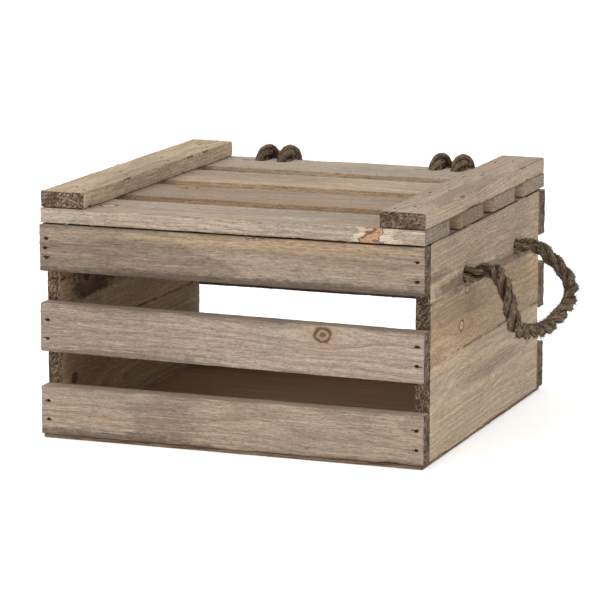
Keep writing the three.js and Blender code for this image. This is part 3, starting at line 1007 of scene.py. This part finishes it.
STAVE_KNOTS = {
    "stave_right_mid": [(-0.229, -0.114, 4.6, 0.2), (-0.18, 0.44, 3.4, 0.2)],
    "stave_left_mid": [(-0.33, 0.42, 5.0, 1.0)],
    "stave_left_low": [(-0.42, 0.02, 4.5, 0.8)],
}
STAVE_STAINS_AND_SHADE = {
    # On the right end's top stave the dark band between the rope holes and the dark patches by the front
    # hole are painted shade of the handle rope, and the broad darkening over the stave is painted shade
    # under the lid.
    "stave_right_top": [(0.05, -0.42, 0.36, 0.16, 0.7, ROPE_SHADE_BROWN), (-0.1, 0.25, 0.6, 0.6, 0.35, BROWN),
                        (-0.3, -0.36, 0.16, 0.16, 0.75, ROPE_SHADE_BROWN), (-0.42, -0.1, 0.1, 0.1, 0.6, ROPE_SHADE_BROWN)],
    "stave_right_mid": [(-0.25, 0.25, 0.3, 0.35, 0.35, BROWN), (0.0, -0.15, 0.4, 0.12, 0.4, HONEY)],
    "stave_right_low": [(0.1, 0.1, 0.35, 0.08, 0.45, BROWN), (-0.3, 0.45, 0.25, 0.1, 0.4, HONEY)],
    "stave_left_mid": [(-0.28, 0.4, 0.17, 0.45, 0.9, INK), (0.1, 0.3, 0.4, 0.3, 0.5, SOOT)],
    "stave_left_top": [(-0.28, -0.45, 0.16, 0.3, 0.9, INK), (0.1, 0.2, 0.3, 0.25, 0.4, BROWN)],
    "stave_left_low": [(-0.2, 0.2, 0.3, 0.3, 0.5, BROWN)],
}
STAVE_TONES = {
    "right": {"low": (1.06, 1.10, 1.18), "mid": (0.92, 0.90, 0.85), "top": (0.98, 1.02, 1.07)},
    "left": {"low": (1.15, 1.07, 1.01), "mid": (1.30, 1.24, 1.14), "top": (1.08, 1.02, 0.93)},
}
for end in ("left", "right"):
    for level in ("low", "mid", "top"):
        node = f"stave_{end}_{level}"
        cuts = [rope_hole_tools(end)] if level == "top" else []
        make_board(node, LENGTH_Y, "panel", STAVE_KNOTS.get(node, ()), cuts, 0.2,
                   tone=STAVE_TONES[end][level], stains_and_shade=STAVE_STAINS_AND_SHADE[node], edge_radius=0.15 * MM, slivers=0)

LID_KNOTS = {"lid_slat_front": [(-0.355, -0.02, 6.5, 0.2)], "lid_slat_mid_front": [(-0.27, 0.33, 4.5, 0.25)]}
LID_STAINS_AND_SHADE = {
    "lid_slat_front": [(-0.2, -0.3, 0.3, 0.2, 0.4, HONEY), (0.2, 0.2, 0.3, 0.3, 0.3, BROWN),
                       (0.335, -0.53, 0.016, 0.09, 0.6, CREAM), (0.37, -0.53, 0.035, 0.10, 0.75, ORANGE),
                       (0.41, -0.53, 0.030, 0.10, 0.5, CREAM), (0.352, -0.53, 0.006, 0.09, 0.85, SOOT),
                       (0.392, -0.53, 0.005, 0.10, 0.85, SOOT)],
    # The russet band on the front face of each of the back three slats is painted shade: these faces sit in
    # the gaps behind the slat in front.
    "lid_slat_mid_front": [(0.1, -0.53, 0.7, 0.09, 0.7, GAP_SHADE_BROWN)],
    "lid_slat_mid_rear": [(0.0, -0.53, 0.7, 0.09, 0.7, GAP_SHADE_BROWN), (-0.2, 0.2, 0.3, 0.3, 0.3, BROWN)],
    "lid_slat_rear": [(0.0, -0.53, 0.7, 0.09, 0.6, GAP_SHADE_BROWN), (0.25, -0.1, 0.3, 0.3, 0.2, BROWN)],
}
LID_TONES = {
    "lid_slat_front": (1.04, 1.11, 1.18), "lid_slat_mid_front": (0.88, 0.87, 0.84),
    "lid_slat_mid_rear": (1.16, 1.18, 1.18), "lid_slat_rear": (1.15, 1.22, 1.28),
}
for node in named("lid_slat"):
    cuts = [ring_tools(), crack_tools()] if node == "lid_slat_rear" else []
    make_board(node, LID_X, "lid", LID_KNOTS.get(node, ()), cuts, 0.5, end_light=0.42, body="lid",
               stains_and_shade=LID_STAINS_AND_SHADE[node], tone=LID_TONES[node])


def second_lid_nails(node):
    """The second brad of each crossing, beside the one that the frame holds."""
    found = []
    for n in named("nail_lid"):
        if n.endswith(node.rsplit("_", 1)[1]):
            face, direction = nail_face(n)
            side = 1 if face[0] > 0 else -1
            found.append((face + np.array([-side * 13 * MM, -15 * MM, 0]), direction))
    return found


BATTEN_TONES = {"lid_batten_left": (1.24, 1.23, 1.16), "lid_batten_right": (1.02, 1.04, 1.04)}
for node in ("lid_batten_left", "lid_batten_right"):
    seconds = second_lid_nails(node)
    make_board(node, LID_Y, "lid", (), nail_pits(node, 1, seconds), 0.9, body="lid",
               stains_and_shade=[(-0.1, 0.3, 0.3, 0.25, 0.4, BROWN)], tone=BATTEN_TONES[node])

sheet_middle, sheet_size = (BASE_LOW + BASE_HIGH) / 2, BASE_HIGH - BASE_LOW
bottom = board_mesh("bottom_board_sheet", sheet_middle, sheet_size, LID_X, RNG, 0.5)
settle(bottom, thin_board_material(), "crate", "bottom_board")

# ---------- build: nails ----------

NAIL_STEEL = nail_material()
for node in NAILS:
    frame["nodes"][node].data.materials.clear()
    frame["nodes"][node].data.materials.append(NAIL_STEEL)


def add_brad(name, head, body):
    """A short brad set just below the surface, where the frame has none."""
    face, direction = head
    parts = MeshParts()
    verts, faces = cylinder_tool(face + direction * BRAD_SINK, direction, BRAD_RADIUS, BRAD_LENGTH, 10)
    parts.add(verts, faces, [0] * len(verts))
    brad = parts.build(name, "edge", smooth=False)
    settle(brad, NAIL_STEEL, body)


for node in ("lid_batten_left", "lid_batten_right"):
    for index, head in enumerate(second_lid_nails(node)):
        add_brad(f"brad_{node}_{index + 1}", head, "lid")
for head in third_front_brad():
    add_brad("brad_front_top_left_middle", head, "crate")

# ---------- build: ropes ----------

JUTE = rope_material()

for node, middle, ring_radius in hinge_rings():
    steps = np.linspace(0, 2 * math.pi, RING_STEPS, endpoint=False)
    spoke = np.stack([np.zeros_like(steps), np.cos(steps), np.sin(steps)], 1)
    parts = MeshParts()
    rope_mesh(parts, middle + ring_radius * spoke, ROPE_RADIUS, RNG, "ring", closed=True)
    inner_radius = ring_radius - ROPE_RADIUS - INNER_TURN + INNER_ROPE
    rope_mesh(parts, middle + inner_radius * spoke, INNER_ROPE, RNG, "inner turn", closed=True)
    settle(parts.build(node + "_strands", "tone"), JUTE, "crate", node)


def knot_path(out_sign, y, z):
    """Where a handle rope ends inside the crate: two close coils and a short tail."""
    inner = HALF_WIDTH - (PANEL_HIGH.x - PANEL_LOW.x)
    points = []
    for step in range(COIL_STEPS):
        angle = step * math.pi / 3
        depth = inner - 7 * MM - step * 1.1 * MM
        reach = min(COIL_RADIUS, 2.5 * MM + step * 1.5 * MM)
        points.append([out_sign * depth, y + reach * math.sin(angle), z + reach * math.cos(angle)])
    points.append([out_sign * (inner - 26 * MM), y + 3 * MM, z - 9 * MM])
    return points


LOOP_DROOP = math.radians(39)  # droop that the loop's points below are written for


def handle_path(body):
    """From the front knot, out through the front hole, round the drooping loop and back to the rear knot."""
    joint = HANDLE_JOINTS[body]
    _, cy, cz = joint["pos_m"]
    sign = 1 if body == "handle_right" else -1
    end = body.split("_")[1]
    front, rear = (middle_of(f"rope_end_{end}_{place}") for place in ("front", "rear"))
    pivot = abs(joint["pos_m"][0]) - HALF_WIDTH
    axis_out = pivot / MM
    loop = [  # mm out from the panel, metres along Y, mm up from the holes
        (1, front.y, 0), (axis_out, front.y + 4 * MM, 0), (15, front.y + 8 * MM, 3.2),
        (27, front.y + 6 * MM, 2), (38, front.y - 4 * MM, -11),
        (45, front.y - 8 * MM, -30), (48, front.y, -46), (55, cy - 33 * MM, -54),
        (56, cy + 8 * MM, -54), (56, rear.y - 20 * MM, -46), (53, rear.y + 2 * MM, -36),
        (44, rear.y + 11 * MM, -24), (30, rear.y + 12 * MM, -10), (17, rear.y + 10 * MM, 0),
        (axis_out, rear.y + 5 * MM, 1), (1, rear.y, 0),
    ]
    points = knot_path(sign, front.y, cz)[::-1]
    points.append([sign * (HALF_WIDTH - 10 * MM), front.y, cz])
    low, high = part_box(f"handle_rope_{end}")
    reach = (high.x if sign > 0 else -low.x) - abs(joint["pos_m"][0]) - ROPE_RADIUS
    droop = math.atan2(cz - low.z - ROPE_RADIUS, reach)
    extra = droop - LOOP_DROOP
    for out, y, up in loop:
        over = out * MM - pivot
        turned_out, turned_up = out * MM, up * MM
        if over > 0:
            turned_out = pivot + over * math.cos(extra) + up * MM * math.sin(extra)
            turned_up = up * MM * math.cos(extra) - over * math.sin(extra)
        points.append([sign * (HALF_WIDTH + turned_out), y, cz + turned_up])
    points.append([sign * (HALF_WIDTH - 10 * MM), rear.y, cz])
    points += knot_path(sign, rear.y, cz)
    return points


for end in ("left", "right"):
    body = f"handle_{end}"
    path = smooth_path(handle_path(body), PATH_STEP)
    outside = np.flatnonzero(np.abs(path[:, 0]) > abs(HANDLE_JOINTS[body]["pos_m"][0]))
    spans = [  # the frame's node, the points of the path, the body, and the kind of fibres
        (f"rope_end_{end}_front", (0, outside[0]), "crate", "rope end"),
        (f"handle_rope_{end}", (outside[0], outside[-1]), body, "loop"),
        (f"rope_end_{end}_rear", (outside[-1], len(path) - 1), "crate", "rope end"),
    ]
    for node, span, rides, kind in spans:
        parts = MeshParts()
        rope_mesh(parts, path, ROPE_RADIUS, RNG, kind, span=span)
        settle(parts.build(node + "_strands", "tone"), JUTE, rides, node)

# ---------- studio ----------

LAMP_AIM = Vector((0, 0, 0.1))
FLOOR_HALF = 30.0
FLOOR_GAP = 0.2 * MM  # the floor lies just under the crate


def add_light(name, place, size, power):
    """A soft round lamp that faces the crate."""
    data = bpy.data.lights.new(name, "AREA")
    data.shape = "DISK"
    data.size = size
    data.energy = power
    lamp = bpy.data.objects.new(name, data)
    lamp.location = place
    lamp.rotation_mode = "QUATERNION"
    lamp.rotation_quaternion = (Vector(place) - LAMP_AIM).to_track_quat("Z", "Y")
    bpy.context.scene.collection.objects.link(lamp)


floor_mesh = bpy.data.meshes.new("floor")
corners = [(x * FLOOR_HALF, y * FLOOR_HALF, 0) for x, y in ((-1, -1), (1, -1), (1, 1), (-1, 1))]
floor_mesh.from_pydata(corners, [], [(0, 1, 2, 3)])
floor = bpy.data.objects.new("floor", floor_mesh)
floor.data.materials.append(floor_material())
floor.location.z = CAD_LOW.z - FLOOR_GAP
bpy.context.scene.collection.objects.link(floor)

world = bpy.data.worlds.new("studio")
world.use_nodes = True
backdrop = world.node_tree.nodes["Background"]
backdrop.inputs["Color"].default_value = (1.0, 1.0, 1.0, 1.0)
backdrop.inputs["Strength"].default_value = 1.0
bpy.context.scene.world = world

add_light("key", (-0.9, -1.6, 1.9), 1.4, 22)
add_light("right_fill", (1.9, -0.9, 1.1), 1.2, 12)

bpy.context.scene.view_settings.view_transform = "Standard"

# ---------- camera ----------

AZIMUTH = math.radians(20.6)
ELEVATION = math.radians(10.75)
DISTANCE = 3.03
AIM = Vector((0, 0, 0.545 * PANEL_HIGH.z))

camera_data = bpy.data.cameras.new("camera")
camera_data.sensor_width = 36
camera_data.lens = 197.6
camera = bpy.data.objects.new("camera", camera_data)
away = Vector((math.sin(AZIMUTH) * math.cos(ELEVATION), -math.cos(AZIMUTH) * math.cos(ELEVATION),
               math.sin(ELEVATION)))
camera.location = AIM + away * DISTANCE
camera.rotation_mode = "QUATERNION"
camera.rotation_quaternion = away.to_track_quat("Z", "Y")
camera_data.clip_start = 0.1
camera_data.clip_end = 100
bpy.context.scene.collection.objects.link(camera)
bpy.context.scene.camera = camera
